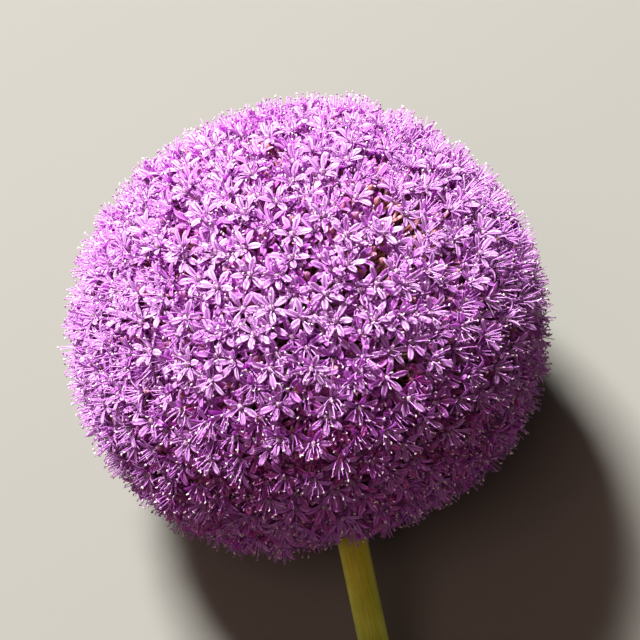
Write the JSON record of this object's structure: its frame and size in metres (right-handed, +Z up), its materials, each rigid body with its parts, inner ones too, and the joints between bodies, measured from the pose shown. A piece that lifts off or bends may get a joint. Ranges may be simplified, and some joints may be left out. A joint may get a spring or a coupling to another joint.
{
  "type": "allium flower head",
  "caption": "Ball-shaped allium flower head of star-shaped lilac florets with long stamens, on a short length of cut green scape, lying on its side.",
  "frame": {"origin": "on the resting surface, at the middle of the flattened spot under the ball of florets", "axes": "+Z up from the resting surface, +Y the way the ball's crown points as seen from above, with the scape towards -Y, +X to the right of that"},
  "size_m": [0.1482, 0.2308, 0.1407],
  "materials": {
    "florets": "soft thin petals, lilac with paler edges",
    "scape": "smooth green stalk with a faint bloom"
  },
  "bodies": {
    "root": {"flower_head": "florets", "scape": "scape"}
  },
  "joints": []
}
